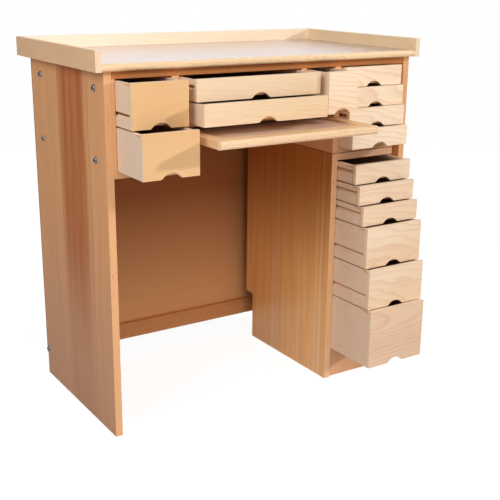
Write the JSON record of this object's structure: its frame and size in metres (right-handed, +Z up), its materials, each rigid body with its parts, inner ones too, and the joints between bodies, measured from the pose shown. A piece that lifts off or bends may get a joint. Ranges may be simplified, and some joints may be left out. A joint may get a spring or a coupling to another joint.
{
  "type": "jewelers bench",
  "caption": "Wooden jeweler's bench: a top with a low gallery, drawer banks under it, a pull-out tray, a drawer pedestal and an open kneehole.",
  "frame": {"origin": "on the floor, at the middle of the space that the bench covers with its drawers and tray as they stand", "axes": "+X to the bench's right as seen from its front, +Y towards its back, +Z up"},
  "size_m": [1.004, 0.716, 1],
  "materials": {
    "end_panel": "edge-glued solid panel, satin lacquer",
    "unit_board": "edge-glued solid panel, satin lacquer",
    "hardwood_strip": "planed beech, satin lacquer",
    "top_core": "raw board",
    "gallery_ply": "birch plywood, satin lacquer",
    "back_board": "plain fibreboard",
    "drawer_front": "birch plywood, satin lacquer",
    "drawer_box": "birch plywood, sanded",
    "laminate": "satin laminate sheet",
    "screw_zinc": "bright zinc plate"
  },
  "bodies": {
    "bench": {"left_end_panel": "end_panel", "right_end_panel": "end_panel", "unit_top_panel": "unit_board", "left_box_side": "unit_board", "left_divider": "unit_board", "left_box_bottom": "unit_board", "centre_divider": "unit_board", "centre_shelf": "unit_board", "right_divider": "unit_board", "right_runner_board": "unit_board", "right_box_bottom": "unit_board", "pedestal_left_panel": "unit_board", "pedestal_runner_board": "unit_board", "pedestal_top": "unit_board", "pedestal_bottom": "unit_board", "plinth_board": "unit_board", "top_front_lipping": "hardwood_strip", "rear_stretcher": "hardwood_strip", "left_tray_runner": "hardwood_strip", "right_tray_runner": "hardwood_strip", "bench_top": "top_core", "left_gallery_rail": "gallery_ply", "right_gallery_rail": "gallery_ply", "back_gallery_rail": "gallery_ply", "back_panel": "back_board", "work_surface": "laminate"},
    "left_drawer_1": {"left_drawer_1_front": "drawer_front", "left_drawer_1_box": "drawer_box"},
    "left_drawer_2": {"left_drawer_2_front": "drawer_front", "left_drawer_2_box": "drawer_box"},
    "wide_drawer_1": {"wide_drawer_1_front": "drawer_front", "wide_drawer_1_box": "drawer_box"},
    "wide_drawer_2": {"wide_drawer_2_front": "drawer_front", "wide_drawer_2_box": "drawer_box"},
    "narrow_drawer": {"narrow_drawer_front": "drawer_front", "narrow_drawer_box": "drawer_box"},
    "right_drawer_1": {"right_drawer_1_front": "drawer_front", "right_drawer_1_box": "drawer_box"},
    "right_drawer_2": {"right_drawer_2_front": "drawer_front", "right_drawer_2_box": "drawer_box"},
    "right_drawer_3": {"right_drawer_3_front": "drawer_front", "right_drawer_3_box": "drawer_box"},
    "right_drawer_4": {"right_drawer_4_front": "drawer_front", "right_drawer_4_box": "drawer_box"},
    "pedestal_drawer_1": {"pedestal_drawer_1_front": "drawer_front", "pedestal_drawer_1_box": "drawer_box"},
    "pedestal_drawer_2": {"pedestal_drawer_2_front": "drawer_front", "pedestal_drawer_2_box": "drawer_box"},
    "pedestal_drawer_3": {"pedestal_drawer_3_front": "drawer_front", "pedestal_drawer_3_box": "drawer_box"},
    "pedestal_drawer_4": {"pedestal_drawer_4_front": "drawer_front", "pedestal_drawer_4_box": "drawer_box"},
    "pedestal_drawer_5": {"pedestal_drawer_5_front": "drawer_front", "pedestal_drawer_5_box": "drawer_box"},
    "pedestal_drawer_6": {"pedestal_drawer_6_front": "drawer_front", "pedestal_drawer_6_box": "drawer_box"},
    "tray": {"tray_frame": "hardwood_strip", "tray_front_lipping": "hardwood_strip", "tray_sheet": "laminate"}
  },
  "joints": [
    {"name": "left_drawer_1_slide", "type": "slide", "parent": "bench", "child": "left_drawer_1", "axis": [0, -1, 0], "range_m": [-0.086, 0.214]},
    {"name": "left_drawer_2_slide", "type": "slide", "parent": "bench", "child": "left_drawer_2", "axis": [0, -1, 0], "range_m": [-0.137, 0.163]},
    {"name": "wide_drawer_1_slide", "type": "slide", "parent": "bench", "child": "wide_drawer_1", "axis": [0, -1, 0], "range_m": [-0.086, 0.214]},
    {"name": "wide_drawer_2_slide", "type": "slide", "parent": "bench", "child": "wide_drawer_2", "axis": [0, -1, 0], "range_m": [-0.121, 0.179]},
    {"name": "narrow_drawer_slide", "type": "slide", "parent": "bench", "child": "narrow_drawer", "axis": [0, -1, 0], "range_m": [-0.098, 0.202]},
    {"name": "right_drawer_1_slide", "type": "slide", "parent": "bench", "child": "right_drawer_1", "axis": [0, -1, 0], "range_m": [-0.023, 0.277]},
    {"name": "right_drawer_2_slide", "type": "slide", "parent": "bench", "child": "right_drawer_2", "axis": [0, -1, 0], "range_m": [-0.034, 0.266]},
    {"name": "right_drawer_3_slide", "type": "slide", "parent": "bench", "child": "right_drawer_3", "axis": [0, -1, 0], "range_m": [-0.043, 0.257]},
    {"name": "right_drawer_4_slide", "type": "slide", "parent": "bench", "child": "right_drawer_4", "axis": [0, -1, 0], "range_m": [-0.061, 0.239]},
    {"name": "pedestal_drawer_1_slide", "type": "slide", "parent": "bench", "child": "pedestal_drawer_1", "axis": [0, -1, 0], "range_m": [-0.0815, 0.2185]},
    {"name": "pedestal_drawer_2_slide", "type": "slide", "parent": "bench", "child": "pedestal_drawer_2", "axis": [0, -1, 0], "range_m": [-0.1015, 0.1985]},
    {"name": "pedestal_drawer_3_slide", "type": "slide", "parent": "bench", "child": "pedestal_drawer_3", "axis": [0, -1, 0], "range_m": [-0.1215, 0.1785]},
    {"name": "pedestal_drawer_4_slide", "type": "slide", "parent": "bench", "child": "pedestal_drawer_4", "axis": [0, -1, 0], "range_m": [-0.143, 0.157]},
    {"name": "pedestal_drawer_5_slide", "type": "slide", "parent": "bench", "child": "pedestal_drawer_5", "axis": [0, -1, 0], "range_m": [-0.1615, 0.1385]},
    {"name": "pedestal_drawer_6_slide", "type": "slide", "parent": "bench", "child": "pedestal_drawer_6", "axis": [0, -1, 0], "range_m": [-0.175, 0.125]},
    {"name": "tray_slide", "type": "slide", "parent": "bench", "child": "tray", "axis": [0, -1, 0], "range_m": [-0.194, 0.106]}
  ]
}
